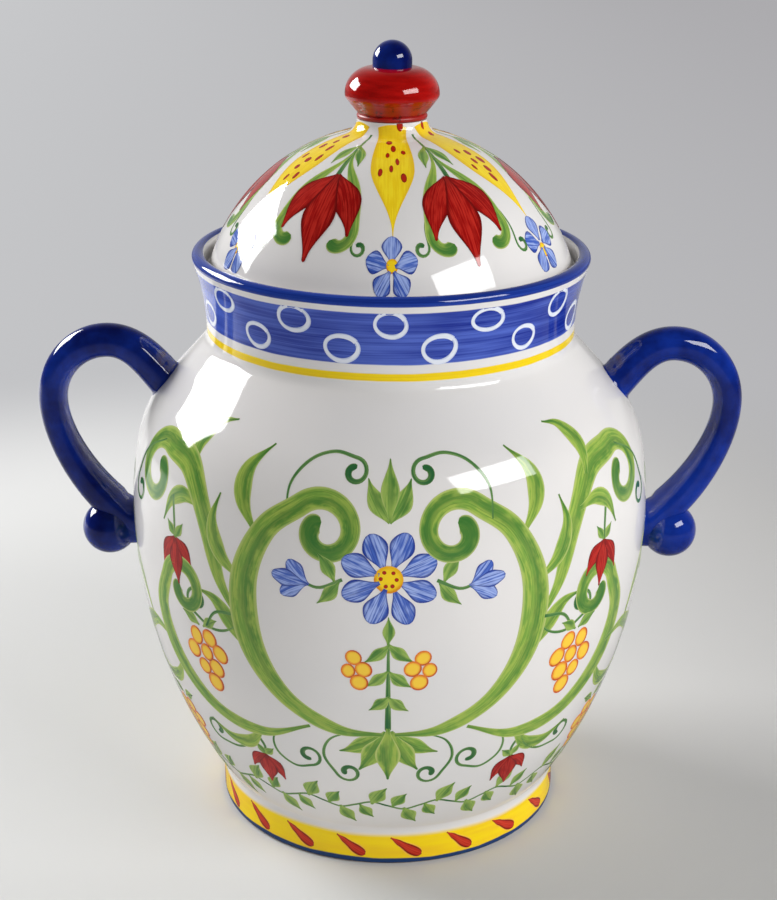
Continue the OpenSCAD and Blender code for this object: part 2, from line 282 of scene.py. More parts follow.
print("lid seat", round(SEAT_Z, 5), "knob starts at", round(KNOB_Z, 5))

# %% The lid
ceiling_z = height_over(KNOB_BASE_R, DOME_C, CEILING_R)
inside = (FLANGE_IN, height_over(FLANGE_IN, DOME_C, CEILING_R))
dome_run = chain(arc(EDGE_C, EDGE_R, -QUARTER, EDGE_A, 0.0003),
                 arc(DOME_C, DOME_R, EDGE_A, FILLET_KA, 0.0012),
                 arc(FILLET_K, KNOB_FILLET, FILLET_KA + math.pi, math.pi, 0.0004))
lid_under = chain(
    line((0, ceiling_z), (KNOB_BASE_R, ceiling_z), 0.005),
    arc(DOME_C, CEILING_R, bearing(DOME_C, (KNOB_BASE_R, ceiling_z)), bearing(DOME_C, inside), 0.002),
    line(inside, (FLANGE_IN, FLANGE_LOW)),
    arc((FLANGE_IN + FLANGE_ROUND, FLANGE_LOW), FLANGE_ROUND, math.pi, math.tau, 0.0006),
    line((FLANGE_R, FLANGE_LOW), (FLANGE_R, SEAT_Z)), line((FLANGE_R, SEAT_Z), (EDGE_C[0], SEAT_Z)))
under_knob = [(KNOB_BASE_R - 0.003, KNOB_Z), (0, KNOB_Z)]
lid = lathe("lid_dome", chain(lid_under, dome_run, under_knob), 256, "lid", "white_glaze", "lid")

# %% The knob and its ball
crown_in = KNOB_R - KNOB_TOP_R
crown_r = (crown_in ** 2 + CROWN_H ** 2) / (2 * crown_in)
knob_edge, waist = (KNOB_R - KNOB_EDGE_R, CROWN_Z), (KNOB_BASE_R - WAIST, KNOB_Z + 2 * BEAD_R)
away = math.dist(knob_edge, waist)
skirt_a = bearing(waist, knob_edge) - math.asin(KNOB_EDGE_R / away)
skirt_end = polar(waist, math.sqrt(away ** 2 - KNOB_EDGE_R ** 2), skirt_a)
knob_profile = chain(
    [(0, KNOB_Z), (KNOB_BASE_R - BEAD_R, KNOB_Z)],
    arc((KNOB_BASE_R - BEAD_R, KNOB_Z + BEAD_R), BEAD_R, -QUARTER, BEAD_A, 0.00025),
    line(waist, skirt_end, 0.001),
    arc(knob_edge, KNOB_EDGE_R, skirt_a - QUARTER, 0, 0.0003),
    arc((KNOB_R - crown_r, CROWN_Z), crown_r, 0, math.asin(CROWN_H / crown_r), 0.0004), [(0, KNOB_TOP)])
knob = lathe("knob", knob_profile, 160, "lid", "red_glaze", "lid_knob")

ball_profile = chain([(0, KNOB_TOP), (BALL_R, KNOB_TOP), (BALL_R, BALL_Z)],
                     arc((0, BALL_Z), BALL_R, 0, QUARTER, 0.0004))
navy_pieces = [lathe("top_ball", ball_profile, 128, "lid", "navy_glaze", "knob_ball")]

# %% [markdown]
# ## Handles
#
# Each handle is a pulled rod, thicker at its ends, that springs from the shoulder, turns
# over and comes back to the belly just above a ball. Three Bezier stretches carry its
# centre line, as in the construction. Every line along the rod is then run down to the
# pot, so the rod meets the round wall without a gap, with a small lip of glaze.

# %% The handle's centre line
JOINT_UP, JOINT_LOW, REACH, RISE, CROOK, DROP = 0.0525, 0.012, 0.033, 0.0165, 0.024, 0.026
LEAVE, RETURN, EASE, RISE_EASE, FALL_EASE = math.radians(52), math.radians(30), 0.5523, 0.36, 0.30
ROD_ROOT, ROD_TOP, ROD_SIDE, ROD_END, STRETCH_ROWS = 0.008, 0.0072, 0.0061, 0.0082, 40

outer_r, outer_z = np.array(outer_run).T


def pot_radius(z):
    """Outer radius of the pot at height z between foot and neck."""
    return float(np.interp(z, outer_z, outer_r))


root_p = np.array((pot_radius(BELLY_Z + JOINT_UP), BELLY_Z + JOINT_UP))
side_x = BELLY_R + REACH
top_p = np.array((side_x - CROOK, root_p[1] + RISE))
side_p = np.array((side_x, top_p[1] - DROP))
end_p = np.array((pot_radius(BELLY_Z - JOINT_LOW), BELLY_Z - JOINT_LOW))
leave_dir, return_dir = np.array(polar((0, 0), 1, LEAVE)), -np.array(polar((0, 0), 1, RETURN))
rise_len = RISE_EASE * np.linalg.norm(top_p - root_p)
fall_len = FALL_EASE * np.linalg.norm(side_p - end_p)

centre_line = []
for a, b, c, d, r0, r1 in (
        (root_p, root_p + rise_len * leave_dir, top_p - (rise_len, 0), top_p, ROD_ROOT, ROD_TOP),
        (top_p, top_p + (EASE * CROOK, 0), side_p + (0, EASE * DROP), side_p, ROD_TOP, ROD_SIDE),
        (side_p, side_p - (0, fall_len), end_p - fall_len * return_dir, end_p, ROD_SIDE, ROD_END)):
    for t in np.arange(STRETCH_ROWS) / STRETCH_ROWS:
        p = (1 - t) ** 3 * a + 3 * (1 - t) ** 2 * t * b + 3 * (1 - t) * t * t * c + t ** 3 * d
        centre_line.append((*p, r0 + (r1 - r0) * (3 * t * t - 2 * t ** 3)))
centre_line = np.array([*centre_line, (*end_p, ROD_END)])
print("handle centre line", len(centre_line), "rows")

# %% A rod that ends on the pot
ROD_SIDES, NEAR_POT, SEARCH = 48, 0.0052, 0.02
COLLAR = ((0.0045, 0), (0.0022, 0), (0.0012, 0.00006), (0.0006, 0.00022), (0.0001, 0.0006), (-0.0009, 0.0013))


def off_pot(p):
    """How far a point stands off the pot's wall, measured level."""
    return math.hypot(p[0], p[1]) - pot_radius(p[2])


def run_to_pot(start, way):
    """Slides a point along way until it is on the pot's surface."""
    low, high = -SEARCH, SEARCH
    for _ in range(40):
        mid = (low + high) / 2
        if off_pot(start + way * mid) > 0:
            low = mid
        else:
            high = mid
    return start + way * low


def handle_rod(side):
    dirs = np.gradient(centre_line[:, :2], axis=0)
    dirs /= np.linalg.norm(dirs, axis=1)[:, None]
    turn = math.tau * np.arange(ROD_SIDES) / ROD_SIDES
    rings = [np.stack([x - dz * r * np.cos(turn), r * np.sin(turn), z + dx * r * np.cos(turn)], 1)
             for (x, z, r), (dx, dz) in zip(centre_line, dirs)]
    collars = []
    for base, way in ((rings[0], -leave_dir), (rings[-1], return_dir)):
        way = np.array((way[0], 0, way[1]))
        on_wall = np.array([run_to_pot(p, way) for p in base])
        spread = base - base.mean(0)
        spread /= np.linalg.norm(spread, axis=1)[:, None]
        collars.append([on_wall - way * back + spread * swell for back, swell in COLLAR])
    rows = [*collars[0][::-1], *[r for r in rings if min(off_pot(p) for p in r) > NEAR_POT], *collars[1]]
    last = (len(rows) - 1) * ROD_SIDES
    ends = [tuple(range(ROD_SIDES)), tuple(range(last, last + ROD_SIDES))]
    return np.concatenate(rows) * (side, 1, 1), tube_faces(len(rows), ROD_SIDES) + ends


# %% [markdown]
# The ball under each handle was pressed on with a little slip, so it has a short stem
# that spreads onto the wall. It is turned about a line that runs out from the pot.

# %% The balls under the handles
BALL_D, BALL_DROP, STEM_D, SLIP_H, SLIP_SPREAD, STEM_DEEP = 0.0234, 0.003, 0.015, 0.0008, 0.0006, 0.003


def side_ball(side):
    r, stem = BALL_D / 2, STEM_D / 2
    centre_z = end_p[1] - BALL_DROP
    out, wall = BELLY_R + r, pot_radius(centre_z)
    angles = np.linspace(0, math.pi - math.asin(stem / r), 40)
    profile = [(r * math.sin(a), out + r * math.cos(a)) for a in angles]
    profile += [(stem, wall + SLIP_H), (stem + SLIP_SPREAD, wall - SLIP_H),
                (stem, wall - STEM_DEEP), (0, wall - STEM_DEEP)]
    points, faces = turned(profile, 96)
    return points[:, [2, 0, 1]] * (side, 1, 1) + (0, 0, centre_z), faces


for make, part, node in ((handle_rod, "rod", "handle"), (side_ball, "ball", "handle_ball")):
    for hand, side in (("left_", -1), ("right_", 1)):
        made = mesh_object(hand + part, *make(side), crease=60)
        navy_pieces.append(finish_piece(made, "jar", "navy_glaze", hand + node))

# %% [markdown]
# ## Writing materials as sums
#
# A material is a small drawing of nodes. To keep it readable, one class wraps a socket
# so that sums on it add the Math nodes, and another adds any other node by its type,
# its settings and what goes into its sockets. Colours are mixed with Mix nodes only. The
# same two classes also write the Geometry Nodes trees further down.


# %% Sockets that can be added and multiplied
def forward(kind):
    """An operator that adds a Math node of this kind."""
    return lambda a, b: a.desk.maths(kind, a, b)


def reflected(kind):
    """The same for a number on the left, as in 1 - mask."""
    return lambda a, b: a.desk.maths(kind, b, a)


class Wire:
    """A socket. Sums with it add Math nodes."""
    __add__, __radd__ = forward("ADD"), reflected("ADD")
    __sub__, __rsub__ = forward("SUBTRACT"), reflected("SUBTRACT")
    __mul__, __rmul__ = forward("MULTIPLY"), reflected("MULTIPLY")
    __truediv__, __rtruediv__ = forward("DIVIDE"), reflected("DIVIDE")
    __pow__, __rpow__ = forward("POWER"), reflected("POWER")

    def __init__(self, desk, socket):
        self.desk, self.socket = desk, socket

    def __neg__(self):
        return self * -1.0

    def maths(self, kind, *others):
        return self.desk.maths(kind, self, *others)

    def rise(self, start, end):
        """0 below start, 1 above end, and a smooth step between."""
        return self.desk.node("ShaderNodeMapRange", {"Value": self, "From Min": start, "From Max": end},
                              interpolation_type="SMOOTHSTEP", clamp=True)

    def between(self, low, high, soft):
        return self.rise(low - soft, low + soft) * (1 - self.rise(high - soft, high + soft))


class Desk:
    """A node tree to which nodes are added by name; short names get the tree's own prefix."""

    def __init__(self, tree, prefix="ShaderNode"):
        self.tree, self.prefix = tree, prefix

    def feed(self, socket, value):
        if isinstance(value, Wire):
            self.tree.links.new(value.socket, socket)
        else:
            socket.default_value = value

    def node(self, kind, values=None, out=0, **settings):
        """A node of this kind. The settings are set first, then the values or links of its sockets."""
        made = self.tree.nodes.new(kind if "Node" in kind else self.prefix + kind)
        for key, setting in settings.items():
            setattr(made, key, setting)
        for key, value in (values or {}).items():
            self.feed(made.inputs[key], value)
        return Wire(self, made.outputs[out])

    def maths(self, kind, *values):
        return self.node("ShaderNodeMath", dict(enumerate(values)), operation=kind)

    def split(self, vector):
        return [self.node("ShaderNodeSeparateXYZ", {"Vector": vector}, out) for out in range(3)]

    def join(self, x=0.0, y=0.0, z=0.0):
        return self.node("ShaderNodeCombineXYZ", {"X": x, "Y": y, "Z": z})


# %% Glazes
PEEL, GLAZE_IOR = 0.0000025, 1.52


def paint(*seen):
    """Red, green and blue as seen on a screen, 0 to 255, in Blender's linear terms."""
    shares = [c / 255 for c in seen]
    return (*(c / 12.92 if c <= 0.04045 else ((c + 0.055) / 1.055) ** 2.4 for c in shares), 1.0)


class Glaze(Desk):
    """The node tree of one material, with its Principled shader."""

    def __init__(self, name):
        self.material = bpy.data.materials.new(name)
        self.material.use_nodes = True
        super().__init__(self.material.node_tree)
        self.place = self.node("TexCoord", out="Object")

    def mix(self, share, a, b):
        """Each colour is a wire, or three numbers as paint takes them."""
        a, b = (c if isinstance(c, Wire) else paint(*c) for c in (a, b))
        return self.node("Mix", {0: share, 6: a, 7: b}, 2, data_type="RGBA", clamp_factor=True)

    def noise(self, scale, detail=2.0, rough=0.5, where=None):
        """Noise of one scale, or of three along x, y and z."""
        where = where or self.place
        if isinstance(scale, tuple):
            where, scale = self.node("VectorMath", {0: where, 1: scale}, operation="MULTIPLY"), 1.0
        values = {"Vector": where, "Scale": scale, "Detail": detail, "Roughness": rough}
        return self.node("TexNoise", values, "Fac")

    def layers(self, colour, *over):
        """The colour, with each (share, colour) of over laid on it in turn."""
        for share, coat in over:
            colour = self.mix(share, colour, coat)
        return colour

    def surface(self, colour, roughness, ripple=0.00005):
        """The wet glaze: colour and roughness, with slow ripples and a fine orange peel."""
        height = self.noise(28.0, 1.0) * ripple + self.noise(620.0, 1.0) * PEEL
        bump = self.node("Bump", {"Height": height, "Distance": 1.0}, "Normal")
        looks = {"Base Color": colour, "Roughness": roughness, "Normal": bump, "IOR": GLAZE_IOR}
        for title, value in looks.items():
            self.feed(self.tree.nodes["Principled BSDF"].inputs[title], value)
        return self.material


WHITES = ((229, 226, 224), (224, 222, 221))
print("white glaze in linear terms", [round(c, 3) for c in paint(*WHITES[0])[:3]])

# %% [markdown]
# ## The painted bands of the pot
#
# The decorator held a loaded brush to the turning pot, so each band follows the height,
# its edges waver by a few tenths of a millimetre, and fine streaks run round with the
# brush. The shader reads the height and the distance from the axis of each point, and
# lays the bands over white one after another.

# %% Glaze of the pot
BLUE_BAND, BLUE_SOFT = (0.2196, 0.2408), 0.00022
YELLOW_LINE, YELLOW_SOFT = (0.2131, 0.2161), 0.00025
NAVY_FROM_Z, NAVY_FROM_R = (0.24325, 0.24355), (0.07690, 0.07715)
YELLOW_TO_Z, FOOT_BLUE_TO_Z, BARE_TO_Z = (0.0126, 0.0150), (0.0024, 0.0030), (0.00025, 0.0005)
OUTSIDE_R, OUTSIDE_FOOT_R = (0.0728, 0.0734), (0.0722, 0.0726)
FLARE_FROM, FLARE_MORE, WAVER, FOOT_WAVER = (0.2330, 0.2370), 0.0046, 0.0011, 0.0022


def pot_glaze():
    desk = Glaze("pot_glaze")
    x, y, z = desk.split(desk.place)
    radius = (x * x + y * y) ** 0.5
    wobble = (desk.noise(34.0, 3.0) - 0.5) * WAVER
    level = z + wobble
    streak = desk.noise((16.0, 16.0, 1500.0), 3.0, 0.6)
    broad = desk.noise((22.0, 22.0, 260.0))
    cloud = desk.noise(16.0)

    outer = (radius - z.rise(*FLARE_FROM) * FLARE_MORE).rise(*OUTSIDE_R)
    outer_foot = radius.rise(*OUTSIDE_FOOT_R)
    band = level.between(*BLUE_BAND, BLUE_SOFT) * outer
    thin_line = level.between(*YELLOW_LINE, YELLOW_SOFT) * outer
    lip = (z + wobble * 0.4).rise(*NAVY_FROM_Z) * (radius + wobble * 0.5).rise(*NAVY_FROM_R)
    foot = (1 - (z + (broad - 0.5) * FOOT_WAVER).rise(*YELLOW_TO_Z)) * outer_foot
    foot_edge = (1 - (level + wobble).rise(*FOOT_BLUE_TO_Z)) * outer_foot
    bare = 1 - z.rise(*BARE_TO_Z)

    thinness = streak * 0.3 + broad * 0.4 + cloud * 0.45
    blue = desk.mix(thinness.rise(0.43, 0.72), (14, 36, 138), (82, 106, 198))
    yellow = desk.mix(streak.rise(0.3, 0.7), (248, 216, 8), (238, 202, 20))
    navy = desk.mix(streak.rise(0.35, 0.75), (18, 44, 130), (36, 68, 162))
    gold = desk.mix(broad.rise(0.35, 0.7), (254, 220, 20), (248, 204, 32))
    clay = desk.mix(desk.noise(900.0), (214, 188, 164), (190, 160, 136))
    white = desk.mix(cloud.rise(0.35, 0.7), *WHITES)
    colour = desk.layers(white, (band, blue), (thin_line, yellow), (lip, navy), (foot, gold),
                         (foot_edge, (30, 60, 108)), (bare, clay))
    return desk.surface(colour, 0.045 + cloud * 0.02 + bare * 0.7)


pot.data.materials.append(pot_glaze())

# %% [markdown]
# ## White, navy and red glazes
#
# The handles were dipped in a deep blue that breaks lighter where it runs thin. The red
# of the knob was brushed on round the turning knob and is mottled low down, where an
# almost black red laid over the mottle is painted shade under the crown's edge.


# %% The plain glazes
def white_glaze():
    desk = Glaze("lid_glaze")
    cloud = desk.noise(18.0)
    return desk.surface(desk.mix(cloud.rise(0.35, 0.7), *WHITES), 0.045 + cloud * 0.02)


def navy_glaze():
    desk = Glaze("navy_glaze")
    cloud = desk.noise(20.0, 3.0)
    thinness = cloud * 0.6 + desk.noise((60.0, 200.0, 60.0)) * 0.28 + desk.noise(260.0) * 0.12
    colour = desk.mix(thinness.rise(0.36, 0.66), (0, 9, 76), (16, 50, 152))
    return desk.surface(colour, 0.04 + cloud * 0.03, 0.00009)


def red_glaze():
    desk = Glaze("red_glaze")
    mottle = desk.noise(420.0, 3.0, 0.65)
    brushed = desk.noise((90.0, 90.0, 700.0), 3.0)
    # Low on the skirt, under the crown's edge, the red is mottled; the almost black layer over it is painted
    # shade.
    low = 1 - desk.split(desk.place)[2].rise(KNOB_Z + 0.006, CROWN_Z - 0.001)
    colour = desk.layers(desk.mix(brushed.rise(0.35, 0.7), (152, 5, 3), (174, 12, 8)),
                         (low * mottle.rise(0.45, 0.62) * 0.75, (150, 24, 8)),
                         (low * (1 - mottle.rise(0.36, 0.46)) * 0.8, (60, 4, 4)))
    return desk.surface(colour, 0.05 + mottle * 0.04 + low * 0.3)


lid.data.materials.append(white_glaze())
knob.data.materials.append(red_glaze())
navy = navy_glaze()
for piece in navy_pieces:
    piece.data.materials.append(navy)

# %% [markdown]
# ## Painting with strokes
#
# The decoration is brushwork: scrolls, leaves, petals and berries, each laid on with one
# touch of a loaded brush. An image would need a file, and a shader could hardly follow a
# free line, so every stroke is a thin tile of colour, a tenth of a millimetre thick, as
# real underglaze is. A stroke is drawn on a flat sheet, in millimetres, as a centre line
# and a width that swells and tapers. The sheet is wrapped onto the wall afterwards.


# %% Lines for the brush
def flow(points, fine=12):
    """A smooth line through the points (Catmull-Rom)."""
    p = np.array(points, float)
    p = np.vstack([2 * p[0] - p[1], p, 2 * p[-1] - p[-2]])
    out = []
    for i in range(1, len(p) - 2):
        a, b, c, d = p[i - 1:i + 3]
        for t in np.arange(fine) / fine:
            out.append(0.5 * (2 * b + (c - a) * t + (2 * a - 5 * b + 4 * c - d) * t * t
                              + (3 * b - a - 3 * c + d) * t ** 3))
    return np.array([*out, p[-2]])


def curled(points, turns, start, end, way):
    """A line that goes on into a spiral from radius start to end; way 1 turns left, -1 right."""
    path = list(flow(points))
    heading = bearing(path[-2], path[-1])
    steps = max(12, int(40 * turns))
    bend = math.tau * turns / steps
    for k in range(steps):
        heading += way * bend / 2
        path.append(np.array(polar(path[-1], (start + (end - start) * k / steps) * bend, heading)))
        heading += way * bend / 2
    return np.array(path)


def rotated(points, angle):
    c, s = math.cos(angle), math.sin(angle)
    return np.array(points) @ ((c, s), (-s, c))


# %% Strokes, dabs and petals
SQUARE, LEAST_WIDTH = (False, False), 0.16


def travelled(path):
    """Length of the path up to each of its points."""
    return np.concatenate([[0], np.cumsum(np.hypot(*np.diff(path, axis=0).T))])


def stroke(path, widths, rounded=(False, True), spacing=1.1):
    """Centre line and full width at each point; widths are pairs (share of length, width)."""
    path = np.array(path, float)
    length = travelled(path)
    even = np.linspace(0, 1, max(9, int(length[-1] / spacing)) + 1)
    share = 0.45 * even + 0.275 * (1 - np.cos(math.pi * even))
    run = length[-1] * share
    centre = np.stack([np.interp(run, length, path[:, k]) for k in (0, 1)], 1)
    keys, values = np.array(widths, float).T
    k = np.clip(np.searchsorted(keys, share, side="right") - 1, 0, len(keys) - 2)
    t = np.clip((share - keys[k]) / (keys[k + 1] - keys[k]), 0, 1)
    wide = values[k] + (values[k + 1] - values[k]) * t * t * (3 - 2 * t)
    for to_end, width, is_round in ((run, values[0], rounded[0]), (length[-1] - run, values[-1], rounded[1])):
        if is_round:
            wide = wide * np.sqrt(np.clip(1 - (1 - np.minimum(2 * to_end / width, 1)) ** 2, 0, 1))
    return centre, np.maximum(wide, LEAST_WIDTH)


def dab(x, y, radius, lean=0.0, long=1.0, rows=10):
    """A round or oval touch of the brush."""
    a = np.linspace(0, math.pi, rows)
    centre = [polar((x, y), run, lean) for run in -np.cos(a) * radius * long]
    return np.array(centre), np.maximum(2 * radius * np.sin(a), 0.12)


def petal(x, y, angle, length, width, bend=0.0, fat=0.6, tip=0.35):
    """A petal that leaves (x, y) at an angle in degrees and bends on its way."""
    h, turn = math.radians(angle - bend / 2), math.radians(bend) / 8
    points = [(x, y)]
    for _ in range(8):
        points.append(polar(points[-1], length / 8, h))
        h += turn
    return stroke(points, [(0, width * 0.16), (fat, width), (1, width * tip)], (False, True), 0.9)


def leaf(x, y, angle, length=12.0, width=6.4, bend=14.0):
    return petal(x, y, angle, length, width, bend, 0.45, 0.08)


def fan(x, y, radius, count, length, width, first=0.0, tip=0.6):
    """Petals all round a point."""
    return [petal(*polar((x, y), radius, math.radians(a)), a, length, width, 0, 0.62, tip)
            for a in (first + 360 * k / count for k in range(count))]


# %% [markdown]
# ## Tiles on a flat sheet
#
# Each stroke becomes a closed tile: a grid of quads on top, low walls, and a plain back
# that will lie inside the clay. Its points carry two sets of numbers for the material:
# how far along and across the stroke they are, as shares and in millimetres. Later
# strokes lie a hair higher than earlier ones, as wet colour over dry does.

# %% Flat tiles
BACK_DEPTH, QUAD_WIDTH = 0.00015, 3.2


def flat_tiles(strokes, shrink=None, low=0.00006, lift=0.00001, levels=9):
    """One mesh of many tiles, in metres: x along the wall, y up it, z off it."""
    points, faces, shares, sizes = [], [], [], []
    dice = random.Random(11)
    for number, (centre, wide) in enumerate(strokes):
        way = np.gradient(centre, axis=0)
        way /= np.linalg.norm(way, axis=1)[:, None] + 1e-12
        side = np.stack([-way[:, 1], way[:, 0]], 1)
        if shrink:
            side[:, 0] *= [shrink(y) for y in centre[:, 1]]
        run = travelled(centre)
        n, m = len(centre), 2 * max(1, math.ceil(wide.max() / QUAD_WIDTH)) + 1
        height, seed, base = low + lift * (number % levels), dice.random(), len(points)
        for i in range(n):
            for j in range(m + 2):
                t = 2 * j / (m - 1) - 1 if j < m else (-1, 1)[j - m]
                x, y = (centre[i] + side[i] * t * wide[i] / 2) / 1000
                points.append((x, y, height if j < m else -BACK_DEPTH))
                shares.append((run[i] / run[-1], t, seed))
                sizes.append((run[i], t * wide[i] / 2, seed * 97))
        for i in range(n - 1):
            a, b = base + i * (m + 2), base + (i + 1) * (m + 2)
            faces += [(a + j, b + j, b + j + 1, a + j + 1) for j in range(m - 1)]
            faces += [(a + m, b + m, b, a), (a + m - 1, b + m - 1, b + m + 1, a + m + 1),
                      (a + m + 1, b + m + 1, b + m, a + m)]
        faces += [tuple(z + j for j in (m, *range(m), m + 1)) for z in (base, base + (n - 1) * (m + 2))]
    sheet = mesh_object("sheet", points, faces)
    for title, rows in (("share", shares), ("size", sizes)):
        kept = sheet.data.attributes.new(title, "FLOAT_VECTOR", "POINT")
        kept.data.foreach_set("vector", np.array(rows, np.float32).ravel())
    return sheet


# %% [markdown]
# ## Wrapping the sheet round the wall
#
# Geometry Nodes do the wrapping, because the same rule serves every colour: the height on
# the sheet is a distance along the wall's profile, and x is a turn about the axis. Sample
# Curve finds the point and the slope of the wall there. On the lid the sheet is a disc
# about the knob instead. The tree can first repeat what it is given, in a row or in a
# crown, with a fixed seed for the small unevenness of hand work.

# %% The profile as a line
wall_run = side_run(0.0005, 0.0005, 0.0004, 0.0005)
wall_r, wall_z = np.array(wall_run).T
wall_y = travelled(wall_run)
lid_run = chain(arc(DOME_C, DOME_R, EDGE_A, FILLET_KA, 0.0004),
                arc(FILLET_K, KNOB_FILLET, FILLET_KA + math.pi, math.pi, 0.0002))
lid_length = DOME_R * (FILLET_KA - EDGE_A) + KNOB_FILLET * FILLET_KA
print("the lid's profile is", round(1000 * lid_length, 2), "mm long, to the knob")


def up_the_wall(z):
    """Distance along the pot's profile, from the foot's edge to height z, in millimetres."""
    return 1000 * float(np.interp(z, wall_z, wall_y))


def profile_line(name, run):
    curve = bpy.data.curves.new(name, "CURVE")
    curve.dimensions = "3D"
    spline = curve.splines.new("POLY")
    spline.points.add(len(run) - 1)
    spline.points.foreach_set("co", [v for r, z in run for v in (r, 0, z, 1)])
    return add_object(name, curve)


pot_line, lid_line = profile_line("pot_line", wall_run), profile_line("lid_line", lid_run)
belly_up = up_the_wall(BELLY_Z)
print("belly line at", round(belly_up, 2), "mm along the profile")

# %% The tree that wraps
NUMBERS = ("Reach", "Start", "Height", "Phase", "Tilt", "Uneven", "Cut", "Gap")
SOCKETS = dict(Tiles="Geometry", Wall="Object", Mark="Object", Glaze="Material", Seed="Int", Count="Int",
               **dict.fromkeys(NUMBERS, "Float"))
BURIED, DENSEST, MARK_ACROSS, MARK_ALONG = 0.0003, 200000.0, 0.66, 0.9
MARK_LEAST, MARK_MOST = (0.7, 0.7, 1.0), (1.25, 1.3, 1.0)


def wrap_tree(name, disc=False, repeat=False, scatter=False):
    tree = bpy.data.node_groups.new(name, "GeometryNodeTree")
    for title, kind in SOCKETS.items():
        tree.interface.new_socket(title, in_out="INPUT", socket_type="NodeSocket" + kind)
    tree.interface.new_socket("Painted", in_out="OUTPUT", socket_type="NodeSocketGeometry")
    desk = Desk(tree, "GeometryNode")
    given = {s.name: Wire(desk, s) for s in tree.nodes.new("NodeGroupInput").outputs if s.name}
    seed = given["Seed"]

    def dealt(low, high, kind="FLOAT_VECTOR", first=0, out=0):
        """A random vector, or number, for each copy. A number has other sockets than a vector."""
        values = {first: low, first + 1: high, 8: seed}
        return desk.node("FunctionNodeRandomValue", values, out, data_type=kind)

    def copies(spots, instance, turn, size, **more):
        spin = desk.node("FunctionNodeEulerToRotation", {0: desk.join(z=turn)})
        return desk.node("InstanceOnPoints", {"Points": spots, "Instance": instance, "Rotation": spin,
                                              "Scale": size, **more})

    tiles = given["Tiles"]
    if repeat:
        step = given["Reach"] * math.tau / given["Count"]
        start, offset = (0.0, 0.0), 0.0
        if not disc:
            start, offset = (given["Phase"] * step, given["Height"]), step
        spots = desk.node("MeshLine", {"Count": given["Count"], "Start Location": desk.join(*start),
                                       "Offset": desk.join(offset)}, mode="OFFSET")
        turn = dealt(-given["Tilt"], given["Tilt"], "FLOAT", 2, 1)
        if disc:
            turn = turn + (desk.node("InputIndex") + given["Phase"]) * math.tau / given["Count"]
        least, most = 1 - given["Uneven"], 1 + given["Uneven"]
        tiles = copies(spots, tiles, turn, dealt(desk.join(least, least, 1.0), desk.join(most, most, 1.0)))
    if scatter:
        top = desk.split(desk.node("InputNormal"))[2].maths("GREATER_THAN", 0.5)
        values = {"Mesh": tiles, "Selection": top, "Distance Min": given["Gap"], "Density Max": DENSEST,
                  "Seed": seed}
        spots = desk.node("DistributePointsOnFaces", values, distribute_method="POISSON")
        share = desk.node("InputNamedAttribute", {"Name": "share"}, data_type="FLOAT_VECTOR")
        along, across, _ = desk.split(share)
        middle = across.maths("ABSOLUTE").maths("LESS_THAN", MARK_ACROSS)
        inside = middle * along.maths("LESS_THAN", MARK_ALONG)
        x, y, _ = desk.split(desk.node("InputPosition"))
        mark = desk.node("ObjectInfo", {"Object": given["Mark"]}, "Geometry")
        turn, size = y.maths("ARCTAN2", x) - QUARTER, dealt(MARK_LEAST, MARK_MOST)
        tiles = copies(spots, mark, turn, size, Selection=inside)
    tiles = desk.node("RealizeInstances", {"Geometry": tiles})
    x, y, off = desk.split(desk.node("InputPosition"))
    kept = y.maths("LESS_THAN", given["Cut"])
    off = off * kept - BURIED * (1 - kept)
    wall = desk.node("ObjectInfo", {"Object": given["Wall"]}, "Geometry")
    run = given["Start"] - (x * x + y * y) ** 0.5 if disc else y - given["Start"]
    spot = desk.node("SampleCurve", {"Curves": wall, "Length": run}, "Position", mode="LENGTH")
    radius, _, level = desk.split(spot)
    out_way, _, up_way = desk.split(Wire(desk, spot.socket.node.outputs["Tangent"]))
    turn = x.maths("ARCTAN2", -y) if disc else x / given["Reach"]
    radius, level = radius + off * up_way, level - off * out_way
    there = desk.join(radius * turn.maths("SINE"), -(radius * turn.maths("COSINE")), level)
    tiles = desk.node("SetPosition", {"Geometry": tiles, "Position": there})
    tiles = desk.node("SetMaterial", {"Geometry": tiles, "Material": given["Glaze"]})
    tree.links.new(tiles.socket, tree.nodes.new("NodeGroupOutput").inputs[0])
    return tree


TREES = dict(wrap=wrap_tree("wrap_round"), row=wrap_tree("row_round", repeat=True),
             crown=wrap_tree("crown_on_lid", disc=True, repeat=True),
             marks=wrap_tree("marks_on_lid", disc=True, scatter=True))

# %% [markdown]
# ## Colours for the brush
#
# A brush leaves streaks along the stroke, a darker pool where it is lifted, and a thin
# edge where the colour runs out into the white. The materials read these from the
# numbers on the tiles: share gives ends and edges, size gives streaks of a fixed width.


# %% Stroke glazes
class Brush(Glaze):
    """A glaze that reads the numbers on the tiles."""

    def __init__(self, name):
        super().__init__(name)
        share = self.node("Attribute", out="Vector", attribute_name="share")
        size = self.node("Attribute", out="Vector", attribute_name="size")
        self.along, self.across, _ = self.split(share)
        self.edge = self.across.maths("ABSOLUTE")
        self.streak = self.noise((0.07, 1.25, 1.0), 2.0, 0.55, size)
        self.hairs = self.noise((0.05, 3.2, 1.0), 1.0, 0.5, size)
        self.pool = self.noise((0.16, 0.35, 1.0), 2.0, 0.5, size)

    def brushed(self, colour, *over):
        """The finished glaze of a stroke, from its first colour and the layers over it."""
        return self.surface(self.layers(colour, *over), 0.05 + self.streak * 0.02)


